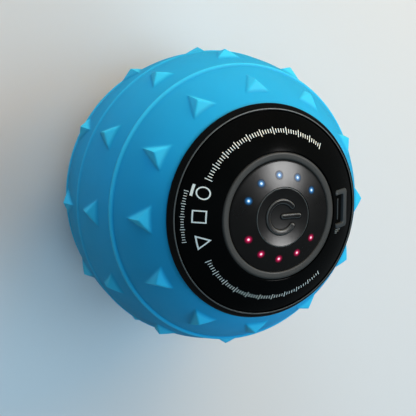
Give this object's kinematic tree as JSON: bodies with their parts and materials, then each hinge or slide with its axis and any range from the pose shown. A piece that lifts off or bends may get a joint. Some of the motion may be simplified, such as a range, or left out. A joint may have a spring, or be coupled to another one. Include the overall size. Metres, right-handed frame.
{
  "type": "vibrating massage ball",
  "caption": "Vibrating massage ball in a ribbed, studded silicone sleeve, with a domed cap that carries a lamp ring, a power button and a charging port, and a flat foot opposite.",
  "frame": {"origin": "centre of the foot's underside, at the pole opposite the power button", "axes": "+Z out through the power button, +X towards the charging port, +Y completes the right-handed frame"},
  "size_m": [0.1256, 0.1256, 0.1168],
  "materials": {
    "blue_silicone": "satin silicone",
    "gloss_black": "high gloss",
    "grey_ring": "fine matte",
    "panel_black": "high gloss",
    "blue_lamp": "lit lens",
    "red_lamp": "lit lens",
    "button_black": "gloss",
    "port_grey": "satin",
    "port_rubber": "matte",
    "shell_grey": "moulded",
    "carrier_black": "moulded",
    "board_green": "solder mask",
    "steel": "plain",
    "screw_steel": "plain",
    "brass": "turned",
    "damper_rubber": "matte",
    "cell_wrap": "wrapped can",
    "foot_rubber": "matte",
    "lead_insulation": "satin"
  },
  "bodies": {
    "ball": {"silicone_sleeve": "blue_silicone", "front_bezel": "gloss_black", "rear_bezel": "gloss_black", "front_cap": "gloss_black", "rear_cap": "gloss_black", "foot_pad": "foot_rubber", "panel_ring": "grey_ring", "led_panel": "panel_black", "port_frame": "port_grey", "charging_socket": "steel", "front_shell": "shell_grey", "rear_shell": "shell_grey", "control_board": "board_green", "switch_body": "carrier_black", "board_retainer": "carrier_black", "charging_board": "board_green", "motor_body": "steel", "motor_damper_1": "damper_rubber", "motor_damper_2": "damper_rubber", "motor_clamp_1": "carrier_black", "motor_clamp_2": "carrier_black", "chassis_deck": "carrier_black", "battery_cell_1": "cell_wrap", "battery_cell_2": "cell_wrap", "battery_cradle": "carrier_black", "motor_lead": "lead_insulation", "battery_lead": "lead_insulation", "charging_lead": "lead_insulation", "cap_screw_1": "screw_steel", "cap_screw_2": "screw_steel", "cap_screw_3": "screw_steel", "rear_cap_screw_1": "screw_steel", "rear_cap_screw_2": "screw_steel", "rear_cap_screw_3": "screw_steel", "deck_screw_1": "screw_steel", "deck_screw_2": "screw_steel", "deck_screw_3": "screw_steel", "deck_screw_4": "screw_steel", "clamp_screw_1": "screw_steel", "clamp_screw_2": "screw_steel", "clamp_screw_3": "screw_steel", "clamp_screw_4": "screw_steel", "blue_lamp_1": "blue_lamp", "blue_lamp_2": "blue_lamp", "blue_lamp_3": "blue_lamp", "blue_lamp_4": "blue_lamp", "blue_lamp_5": "blue_lamp", "red_lamp_1": "red_lamp", "red_lamp_2": "red_lamp", "red_lamp_3": "red_lamp", "red_lamp_4": "red_lamp", "red_lamp_5": "red_lamp"},
    "button": {"power_button": "button_black"},
    "plunger": {"switch_plunger": "port_grey"},
    "cover": {"port_cover": "port_rubber"},
    "rotor": {"motor_shaft": "screw_steel", "eccentric_weight_1": "brass", "eccentric_weight_2": "brass"}
  },
  "joints": [
    {"name": "button_press", "type": "slide", "parent": "ball", "child": "button", "axis": [0, 0, -1], "range_m": [0, 0.0006], "stiffness_N_per_m": 3000},
    {"name": "plunger_press", "type": "slide", "parent": "ball", "child": "plunger", "axis": [0, 0, -1], "range_m": [0, 0.0006]},
    {"name": "cover_hinge", "type": "hinge", "parent": "ball", "child": "cover", "pos_m": [0.03056, 0.0051, 0.11087], "axis": [-0.8678, 0, 0.497], "range_deg": [0, 100]},
    {"name": "rotor_spin", "type": "hinge", "parent": "ball", "child": "rotor", "pos_m": [0, 0, 0.0575], "axis": [1, 0, 0], "continuous": true}
  ],
  "couplings": [
    {"joint": "plunger_press", "follows": "button_press", "ratio": 1}
  ]
}
